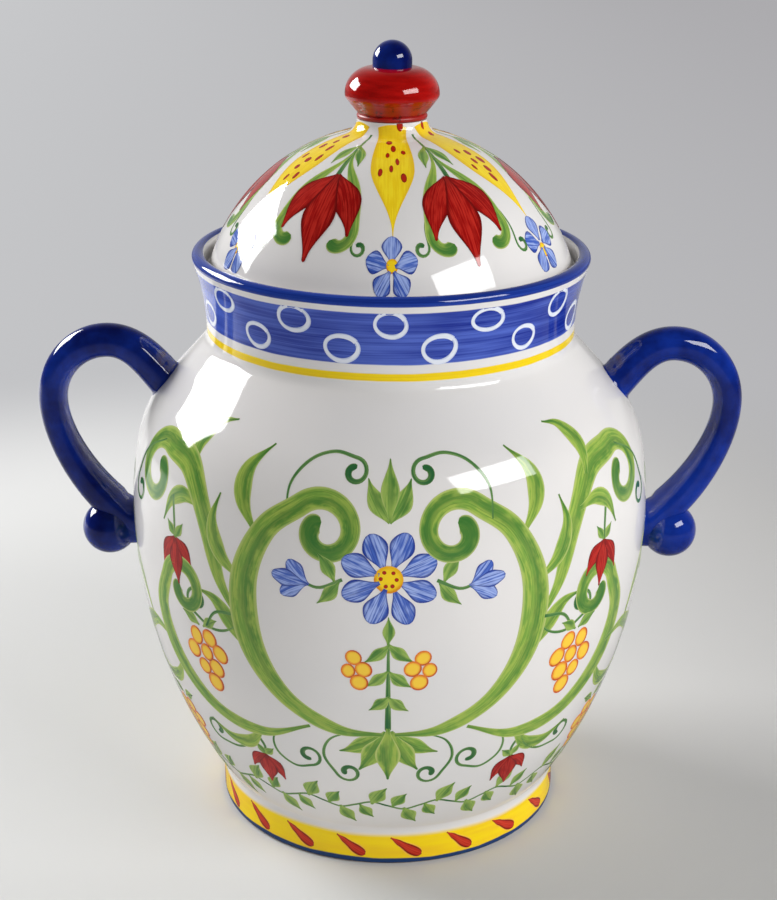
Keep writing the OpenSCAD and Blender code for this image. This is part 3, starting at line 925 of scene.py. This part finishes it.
def green_glaze(name, light, middle, deep, rim, dark_end=0.8):
    b = Brush(name)
    uneven = b.pool - 0.5
    shade = (b.across + uneven * 1.1).between(-0.55, 0.1, 0.3) * b.along.rise(0.02, 0.45)
    ends = (b.along + uneven * 0.25).rise(0.72, 1.0) + (1 - b.along.rise(0.0, 0.14)) * 0.7
    return b.brushed(b.mix((b.streak + uneven * 0.7).rise(0.36, 0.66), light, middle),
                     (shade * 0.62, deep), (b.hairs.rise(0.60, 0.68) * 0.45, deep),
                     (ends * dark_end, deep), (b.edge.rise(0.74, 0.97) * 0.75, rim))


def petal_glaze(name, light, middle, outline, dark_hairs=0.5):
    b = Brush(name)
    rim = b.edge.rise(0.70, 0.93) + (1 - b.along.rise(0.0, 0.2)) * 0.7 + b.along.rise(0.93, 1.0) * 0.6
    return b.brushed(b.mix((b.streak + (b.pool - 0.5) * 0.5).rise(0.34, 0.64), light, middle),
                     (b.hairs.rise(0.56, 0.66) * dark_hairs, outline), (rim * 0.85, outline))


def berry_glaze(name, middle, rim, crescent):
    b = Brush(name)
    lengthwise = 2 * b.along - 1
    out = 1 - (1 - b.across * b.across) * (1 - lengthwise * lengthwise)
    one_side = 1 - (b.across + lengthwise * 0.6).rise(-0.5, 0.2)
    return b.brushed(b.mix((out + (b.pool - 0.5) * 0.4).rise(0.30, 0.85), middle, rim),
                     (out.rise(0.55, 0.85) * one_side * 0.8, crescent))


def dash_glaze(name):
    b = Brush(name)
    ends = (1 - b.along.rise(0.0, 0.05)) + b.along.rise(0.955, 1.0)
    return b.brushed(b.mix(b.streak.rise(0.35, 0.65), (206, 60, 38), (172, 28, 16)),
                     ((b.edge.rise(0.48, 0.66) + ends) * 0.9, (112, 14, 10)),
                     (b.edge.rise(0.76, 0.86), (250, 190, 70)))


def ring_glaze(name):
    b = Brush(name)
    worn = (b.pool + (b.edge - 0.5) * 0.35).rise(0.46, 0.72)
    return b.brushed(b.mix(worn * 0.55, (226, 231, 242), (150, 168, 214)))


GLAZES = dict(
    green=green_glaze("green_glaze", (160, 184, 82), (120, 162, 68), (52, 112, 50), (192, 200, 124)),
    leaf=green_glaze("leaf_glaze", (152, 180, 88), (110, 154, 70), (48, 106, 50), (178, 190, 116), 0.6),
    fine=green_glaze("fine_glaze", (112, 150, 84), (84, 132, 72), (38, 96, 54), (130, 156, 96), 0.9),
    blue=petal_glaze("blue_glaze", (162, 182, 234), (68, 100, 190), (24, 46, 136)),
    red=petal_glaze("tulip_glaze", (188, 40, 30), (148, 10, 8), (100, 6, 6), 0.4),
    yellow=petal_glaze("ray_glaze", (252, 224, 40), (244, 208, 26), (232, 190, 34), 0.3),
    fruit=berry_glaze("fruit_glaze", (250, 206, 66), (230, 124, 48), (180, 64, 34)),
    seed=berry_glaze("seed_glaze", (176, 38, 18), (150, 34, 16), (120, 14, 10)),
    gold=berry_glaze("gold_glaze", (248, 212, 30), (236, 176, 24), (214, 130, 24)),
    dash=dash_glaze("dash_glaze"), ring=ring_glaze("ring_glaze"))
SLOTS = dict(blue="navy_glaze", red="red_glaze", seed="red_glaze", dash="red_glaze")
print("stroke glazes:", len(GLAZES))


# %% From a flat sheet to a painted piece
def painted(name, sheet, tree, colour, **sizes):
    """Runs the tree on the sheet and keeps the result as a plain mesh on its body."""
    body, wall, start = "jar", pot_line, 0.0
    if tree in ("crown", "marks"):
        body, wall, start = "lid", lid_line, KNOB_BASE_R + lid_length
    given = dict(Wall=wall, Glaze=GLAZES[colour], Seed=5, Count=1, Reach=BELLY_R, Start=start, Height=0.0,
                 Phase=0.0, Tilt=0.0, Uneven=0.0, Cut=1.0, Gap=0.004)
    given.update(sizes)
    work = sheet.modifiers.new("wrap", "NODES")
    work.node_group = TREES[tree]
    for item in TREES[tree].interface.items_tree:
        if item.in_out == "INPUT" and item.name in given:
            work[item.identifier] = given[item.name]
    graph = bpy.context.evaluated_depsgraph_get()
    mesh = bpy.data.meshes.new_from_object(sheet.evaluated_get(graph), preserve_all_data_layers=True,
                                           depsgraph=graph)
    bpy.data.objects.remove(sheet)
    return finish_piece(add_object(name, mesh), body, SLOTS.get(colour, "white_glaze"))


# %% [markdown]
# ## The belly
#
# One half of the front is drawn, mirrored left to right, and both halves come again on
# the back. A lyre of two scrolls holds a blue rosette, a second pair of scrolls runs over
# the shoulder, and a low pair runs to the handles. Tulips, fruit and tendrils fill the
# gaps. Positions are millimetres: x round the belly from the front, y up from its widest
# line. A line that curls has, after its points, the turns of its spiral, the radii where
# it starts and ends, and the side to which it turns.

# %% Scrolls and tendrils of one half
THREAD, STEM = [(0, 0.6), (0.35, 1.3), (0.75, 1.5), (1, 2.7)], [(0, 1.5), (1, 1.2)]
half = {"green": [], "fine": [], "leaf": [], "blue": [], "red": [], "fruit": []}


def blade(width):
    """Widths of a pointed lobe that springs from a scroll."""
    return [(0, 2), (0.45, width), (1, 0.8)]


for points, *spiral in (
        ([(45, -64), (53, -70), (53, -79), (45, -85), (36, -83)], 1.1, 6, 1.4, -1),
        ([(14, -61), (25, -66), (29, -76), (24, -87)], 1.15, 6, 1.3, -1),
        ([(62, -69), (68, -79), (78, -85), (90, -86)], 1.1, 6.5, 1.4, 1),
        ([(60, -12), (66, -21), (76, -24), (86, -20)], 1.1, 6.5, 1.4, 1),
        ([(116, 44), (130, 36), (138, 22)], 1.1, 6.5, 1.3, -1),
        ([(41, 30), (41, 43), (34, 53), (24, 57), (14, 55)], 1.1, 5.5, 1.3, 1),
        ([(134, -44), (136, -60), (146, -68)], 1.15, 5.5, 1.3, 1),
        ([(150, -10), (158, 2), (160, 16)], 1.1, 5, 1.3, 1),
        ([(64, -70), (60, -78), (62, -84)],), ([(100, 26), (98, 16), (97, 8)],),
        ([(18, 8), (27, 4), (34, 6)],), ([(64, -14), (74, -16), (80, -24)],)):
    half["fine"].append(stroke(curled(points, *spiral), THREAD) if spiral else stroke(flow(points), STEM))

for widths, points, *spiral in (
        (blade(8), [(57, -30), (66, -18), (74, -10), (84, -8)]),
        (blade(7.5), [(60, 2), (70, 10), (75, 22), (72, 34)]),
        (blade(8), [(54, 22), (61, 34), (61, 46), (52, 57)]),
        ([(0, 2.0), (0.15, 7.0), (0.42, 12.5), (0.68, 8.5), (0.9, 6.8), (1, 7.8)],
         [(3, -62), (23, -60), (44, -47), (57, -25), (59, 2), (50, 24), (35, 36)], 1.12, 13.5, 3.4, 1),
        (blade(7.2), [(83, 26), (93, 28), (101, 24), (106, 14)]),
        (blade(7.2), [(90, 38), (92, 50), (86, 60), (77, 63)]),
        ([(0, 1.6), (0.3, 9.0), (0.5, 11.5), (0.75, 7.5), (0.92, 6.2), (1, 7.2)],
         [(58, -20), (70, -2), (78, 20), (92, 40), (111, 45)], 1.08, 14.5, 3.6, -1),
        (blade(7.5), [(58, -68), (68, -78), (80, -80), (92, -74)]),
        (blade(7), [(104, -50), (112, -60), (124, -64), (137, -60)]),
        ([(0, 1.6), (0.25, 7.5), (0.5, 11), (0.75, 7.2), (0.92, 6.2), (1, 7.2)],
         [(34, -60), (58, -69), (84, -65), (104, -48), (111, -26), (104, -8)], 1.08, 12, 3.2, 1),
        ([(0, 2), (0.45, 8.5), (1, 6.5)], [(108, -40), (124, -38), (142, -46), (158, -56), (173, -60)]),
        ([(0, 1.6), (0.4, 6.5), (1, 5.4)], [(126, -39), (134, -24), (148, -12)], 0.95, 9, 2.6, -1)):
    path = curled(points, *spiral) if spiral else flow(points)
    half["green"].append(stroke(path, widths, (False, bool(spiral))))
half["green"] += [petal(1.5, -60, -28, 24, 8.5, 36, 0.5, 0.1), petal(1.5, -60, -60, 26, 9.5, 22, 0.5, 0.1)]
print("scroll strokes in one half:", len(half["green"]))


# %% Flowers and fruit of one half
HANG = 262


def tulip(x, y, angle, size=1.0):
    half["red"] += [petal(x, y, angle + da, n * size, w * size, -da * 1.1, 0.42, 0.1)
                    for da, n, w in ((-34, 16, 6.6), (34, 16, 6.6), (0, 18.5, 8.6))]
    half["leaf"] += [leaf(x, y, angle + da, 8 * size, 4.0 * size, 0) for da in (140, -140)]


def berries(x, y, rows, radius):
    """Rows of dabs that hang from (x, y), each a little larger or smaller than the next."""
    for i, n in enumerate(rows):
        for k in range(n):
            aside = (k - (n - 1) / 2) * radius * 2.06
            spot = (x, y) + rotated((i * radius * 1.80, aside), math.radians(HANG))
            size = radius * (0.97 + 0.09 * math.sin(7 * i + 3 * k))
            half["fruit"].append(dab(*spot, size, 0.9 + 0.5 * k, 1.12))


tulip(97, 9, -96, 1.05)
tulip(61, -84, -80)
berries(83, -30, (2, 3, 2, 1), 3.9)
berries(13.5, -24, (1, 2, 1), 3.2)
berries(118, -78, (2, 3, 2, 1), 3.7)
half["leaf"] += [leaf(*values) for values in (
    (82, -25, 150, 10, 5, 20), (84, -25, 20, 11, 5.2, -20), (19, 7, -46, 13, 5.6, 24),
    (21, 7, 56, 13, 5.6, -24), (116, -73, 158, 11, 5, 20), (118, -73, 18, 11, 5, -20))]
half["blue"] += [petal(31, 5, 10 + da, n, 7, da * 0.5, 0.62, 0.5)
                 for da, n in ((-38, 12.5), (38, 12.5), (0, 15))]

# %% The middle of the front, and the sides
SIDE_X, SIDES = 1000 * BELLY_R * QUARTER, (-1, 1)
middle = {"green": [petal(0, -58, -90, 30, 10, 0, 0.5, 0.1)],
          "fine": [stroke(flow([(0, -16), (0, -36), (0, -60)]), [(0, 1.0), (1, 2.4)])],
          "leaf": [leaf(0, 31, a, n, 7.5, (90 - a) * 0.9) for a, n in ((64, 19), (116, 19), (90, 24))],
          "blue": fan(0, 9, 4, 8, 15.5, 9.6, 22.5) + fan(SIDE_X, -82, 2.5, 6, 10.5, 7.4, 30),
          "gold": [dab(0, 9, 5.6), dab(SIDE_X, -82, 3.6)],
          "seed": [dab(*polar((0, 9), 3, k * math.pi / 3), 0.8, 0, 1, 7) for k in range(6)]}
middle["leaf"] += [leaf(0, y, -90 + side * 52, n, 5.4, side * 26)
                   for y, n in ((-18, 13), (-30, 12), (-42, 11)) for side in SIDES]
middle["leaf"].append(leaf(0, -18, 90, 12, 5, 10))


def all_round(colour):
    """Both halves and the middle, on the front and again on the back, with a little unevenness."""
    dice = random.Random(3)
    mine = half.get(colour, [])
    mine = mine + [(centre * (-1, 1), wide) for centre, wide in mine] + middle.get(colour, [])
    out = []
    for turn in (0, 2 * SIDE_X):
        for centre, wide in mine:
            nudge = (turn + dice.uniform(-0.35, 0.35), belly_up + dice.uniform(-0.35, 0.35))
            out.append((centre + nudge, wide * dice.uniform(0.95, 1.05)))
    return out


def narrowing(y):
    """How much wider a shape is drawn on the sheet where the pot is narrower."""
    return BELLY_R / float(np.interp(y / 1000, wall_y, wall_r))


FIRST_COAT, BELLY_COAT, LID_COAT = 0.00004, 0.000008, 0.000012
for layer, colour in enumerate(("fine", "green", "leaf", "blue", "red", "fruit", "gold", "seed")):
    sheet = flat_tiles(all_round(colour), narrowing, FIRST_COAT + BELLY_COAT * layer, 0.000007, 6)
    painted("belly_" + colour, sheet, "wrap", colour)

# %% [markdown]
# ## A garland round the foot, dashes, and rings round the neck
#
# These repeat, so one unit is drawn and the tree sets it in a row: a wavy twig with its
# leaves, a slanted red dash with a dark edge, and a white ring. The upper row of rings is
# cut by the white line above it, so its points beyond the cut go under the glaze.

# %% Garland
GARLAND, GARLAND_DOWN, GARLAND_WIDER = 20, 107, 1.28
unit = 2000 * math.pi * BELLY_R / GARLAND
twig = flow([(0, 0), (unit * 0.25, -2.6), (unit * 0.5, 0), (unit * 0.75, 2.6), (unit, 0)])
leaves = [leaf(unit * u, y, a, n, w, b) for u, y, a, n, w, b in (
    (0.25, -1.5, -56, 14.5, 7.4, 20), (0.07, -0.8, 52, 12, 6.6, -20),
    (0.75, 1.5, 56, 14.5, 7.4, -20), (0.57, 0.8, -52, 12, 6.6, 20))]
for part, strokes, colour, tilt in (("twig", [stroke(twig, [(0, 1.1), (1, 1.1)], SQUARE)], "fine", 0.0),
                                    ("leaves", leaves, "leaf", 0.05)):
    painted("garland_" + part, flat_tiles(strokes, lambda y: GARLAND_WIDER), "row", colour,
            Count=GARLAND, Height=(belly_up - GARLAND_DOWN) / 1000, Tilt=tilt)

# %% Red dashes on the foot
DASHES, DASH_Z = 20, 0.0082
dash = stroke(flow([(-6.6, 4.6), (-2.4, 1.6), (2.0, -1.6), (6.0, -3.9)]),
              [(0, 0.7), (0.3, 3.4), (0.72, 5.7), (1, 5.0)])
painted("foot_dashes", flat_tiles([dash]), "row", "dash", Count=DASHES, Reach=FOOT_R,
        Height=up_the_wall(DASH_Z) / 1000, Phase=0.35, Tilt=0.06, Uneven=0.06, Seed=9)

# %% White rings round the neck
NECK_REACH, RINGS = 0.0788, 13


def ring_shape(half_wide, half_high, width, wave):
    a = np.linspace(0, math.tau, 41) + 0.6
    r = 1 + wave * np.sin(2 * a + 1.1) + 0.5 * wave * np.sin(3 * a)
    path = np.stack([half_wide * r * np.cos(a), half_high * r * np.sin(a)], 1)
    return path, width * (1 + 0.16 * np.sin(a * 1.5))


for row, z, phase, seed, shape in (("lower", 0.2258, 0.5, 4, (6.1, 5.1, 1.75, 0.03)),
                                   ("upper", 0.2361, 0.0, 8, (6.6, 4.8, 1.7, -0.035))):
    painted(row + "_rings", flat_tiles([ring_shape(*shape)]), "row", "ring", Count=RINGS, Reach=NECK_REACH,
            Height=up_the_wall(z) / 1000, Phase=phase, Tilt=0.22, Uneven=0.09, Seed=seed,
            Cut=up_the_wall(BLUE_BAND[1] + 0.0002) / 1000)

# %% [markdown]
# ## The lid
#
# The sheet for the lid is a disc with the knob at its middle and the rim at a hundred
# and two millimetres. One sixth is drawn: a long yellow ray sprinkled with red seeds, a
# blue flower at its tip, and a tulip on its stem between two green hooks, with small
# curls. The crown tree turns it round.

# %% One sixth of the lid
SIXTH, HOOK = math.pi / 6, ((33, 0), (42, 0.07), (56, 0.215), (72, 0.27))


def on_lid(*spots):
    """Points on the disc from distances and turns about the knob."""
    return [polar((0, 0), distance, turn - QUARTER) for distance, turn in spots]


def out_from(distance, turn, aside, length, width, bend, tip=0.12):
    return petal(*on_lid((distance, turn))[0], math.degrees(turn) - 90 + aside, length, width, bend, 0.5, tip)


def curl_on_lid(spots, turns, start, end, side, widths):
    return stroke(curled(on_lid(*spots), turns, start, end, -side), widths)


lid_art = {
    "thread": [stroke(on_lid((19, SIXTH), (50, SIXTH)), [(0, 1.0), (1, 2.4)], SQUARE)] + [
        curl_on_lid([(66, side * 0.235), (73, side * 0.215), (80, side * 0.225)], 1.0, 3.6, 1.0, side,
                    [(0, 0.7), (0.6, 1.2), (1, 2.2)]) for side in SIDES],
    "ray": [stroke(on_lid((14.8, 0), (75, 0)), [(0, 12.5), (0.46, 19), (1, 0.4)], SQUARE)],
    "leaves": [out_from(28, SIXTH, side * 26, 15, 4.8, -side * 24, 0.1) for side in SIDES],
    "hooks": [curl_on_lid([(away, SIXTH + side * turn) for away, turn in HOOK], 0.46, 7.5, 4.0, side,
                          [(0, 0.8), (0.5, 6.4), (0.85, 5.2), (1, 6.4)]) for side in SIDES],
    "flower": fan(0, -86, 1.6, 5, 11, 9.4, 90, 0.62),
    "eye": [dab(0, -86, 2.9)],
    "tulip": [out_from(48, SIXTH, aside, n, w, -aside * 1.15)
              for aside, n, w in ((-32, 32, 12.5), (32, 32, 12.5), (0, 40, 16.5))]}

lid_colours = ("fine", "yellow", "leaf", "green", "blue", "gold", "red")
for layer, (part, colour) in enumerate(zip(lid_art, lid_colours)):
    sheet = flat_tiles(lid_art[part], None, FIRST_COAT + LID_COAT * layer, 0.00001, 6)
    painted("lid_" + part, sheet, "crown", colour, Count=6, Tilt=0.012, Uneven=0.02, Seed=2 + layer)

# %% Seeds on the rays
rays = [(rotated(centre, k * math.pi / 3), wide) for centre, wide in lid_art["ray"] for k in range(6)]
seed_mark = flat_tiles([dab(0, 0, 1.2, QUARTER, 1.65, 7)], None, FIRST_COAT)
painted("lid_seeds", flat_tiles(rays, None, 0.00006, 0.0), "marks", "seed", Mark=seed_mark, Gap=0.0050)
for helper in (seed_mark, pot_line, lid_line):
    bpy.data.objects.remove(helper)

# %% [markdown]
# ## Studio
#
# The glaze mirrors two soft lamps: a strong one at the left and a little behind, and a
# second in front at the right. Their places come from where they shine in the shoulder
# and in the lid. A pale floor takes the shadow, which falls to the right. The floor's own
# colour also carries painted shade and a painted shadow to the right, a painted dark
# reflection for glossy rays and painted bounce light for diffuse ones; the far floor
# glows with a painted falloff of light, lighter at the left.

# %% Floor
FLOOR_HALF, FAR, HORIZON = 8, (0.36, 0.66), (3.4, 7.6)


def floor_material():
    desk = Glaze("studio_floor")
    camera_ray, mirrored, scattered = (desk.node("LightPath", out=f"Is {kind} Ray")
                                       for kind in ("Camera", "Glossy", "Diffuse"))
    x, y, z = desk.split(desk.place)
    distance = (x * x + y * y) ** 0.5
    # The far floor glows as a backdrop with a painted falloff of light: lighter at the left, darker to the
    # right, and even beyond the horizon.
    backdrop_and_painted_falloff = desk.layers(desk.mix((x * 0.5 + 0.5 + y * 0.05).rise(0.0, 1.1), (203, 204, 206), (172, 171, 174)),
                       (distance.rise(*HORIZON), (203, 203, 203)))
    # This floor colour is painted light: painted shade towards the right, a painted shadow to the right that
    # grows towards the back, a darker painted reflection where glossy rays see the front of the floor, and
    # painted bright bounce for diffuse rays.
    floor_and_painted_light = desk.layers(desk.mix((x * 1.6 + 0.5).rise(0.0, 1.0), (211, 211, 210), (202, 201, 200)),
                       (x.rise(0.05, 0.32) * y.rise(-0.32, 0.12), (188, 187, 186)),
                       (mirrored * (1 - y.rise(0.0, 0.3)) * 0.6, (40, 40, 42)),
                       (scattered * 0.8, (250, 250, 250)))
    diffuse = desk.node("BsdfDiffuse", {"Color": floor_and_painted_light})
    glow = desk.node("Emission", {"Color": backdrop_and_painted_falloff, "Strength": 1.0})
    both = desk.node("MixShader", {0: distance.rise(*FAR) * camera_ray, 1: diffuse, 2: glow})
    desk.feed(desk.tree.nodes["Material Output"].inputs["Surface"], both)
    return desk.material


corners = [(x * FLOOR_HALF, y * FLOOR_HALF, 0) for x, y in ((-1, -1), (1, -1), (1, 1), (-1, 1))]
floor = mesh_object("floor", corners, [(0, 1, 2, 3)])
floor.data.materials.append(floor_material())

# %% Lamps and world
CENTRE = Vector((0, 0, 0.2))
FILL, FILL_RIGHT, FILL_BACK, MIRRORED, MIRRORED_BACK, SEEN = 0.06, 1.9, 0.5, 0.05, 0.45, 0.6


def soft_lamp(name, turn, rise, away, width, height, watts):
    """turn, in degrees: 0 stands where the camera is, 90 on the right, -90 on the left."""
    a, e = math.radians(turn), math.radians(rise)
    way = Vector((math.sin(a) * math.cos(e), -math.cos(a) * math.cos(e), math.sin(e)))
    lamp = bpy.data.lights.new(name, "AREA")
    lamp.shape, lamp.size, lamp.size_y, lamp.energy = "RECTANGLE", width, height, watts
    holder = add_object(name, lamp)
    holder.location = CENTRE + way * away
    holder.rotation_mode = "QUATERNION"
    holder.rotation_quaternion = way.to_track_quat("Z", "Y")
    holder.visible_camera = False


soft_lamp("left_lamp", -119, 25, 1.3, 0.74, 0.50, 21.0)
soft_lamp("right_lamp", 50, 31, 1.2, 0.76, 0.34, 8.6)

world = bpy.data.worlds.new("studio")
world.use_nodes = True
room = Desk(world.node_tree)
mirrored, scattered = (room.node("LightPath", out=f"Is {kind} Ray") for kind in ("Glossy", "Diffuse"))
right, back, up = room.split(room.node("TexCoord", out="Generated"))
low, right, behind = 1 - up.rise(0.1, 0.75), right.maths("MAXIMUM", 0.0), back.maths("MAXIMUM", 0.0)
strength = (SEEN * (1 - scattered) * (1 - mirrored)
            + scattered * (FILL + FILL_RIGHT * low * right + FILL_BACK * behind)
            + mirrored * (MIRRORED + MIRRORED_BACK * behind * behind))
background = world.node_tree.nodes["Background"].inputs
background["Color"].default_value = (1.0, 1.0, 1.0, 1.0)
room.feed(background["Strength"], strength)
bpy.context.scene.world = world
print("studio ready")
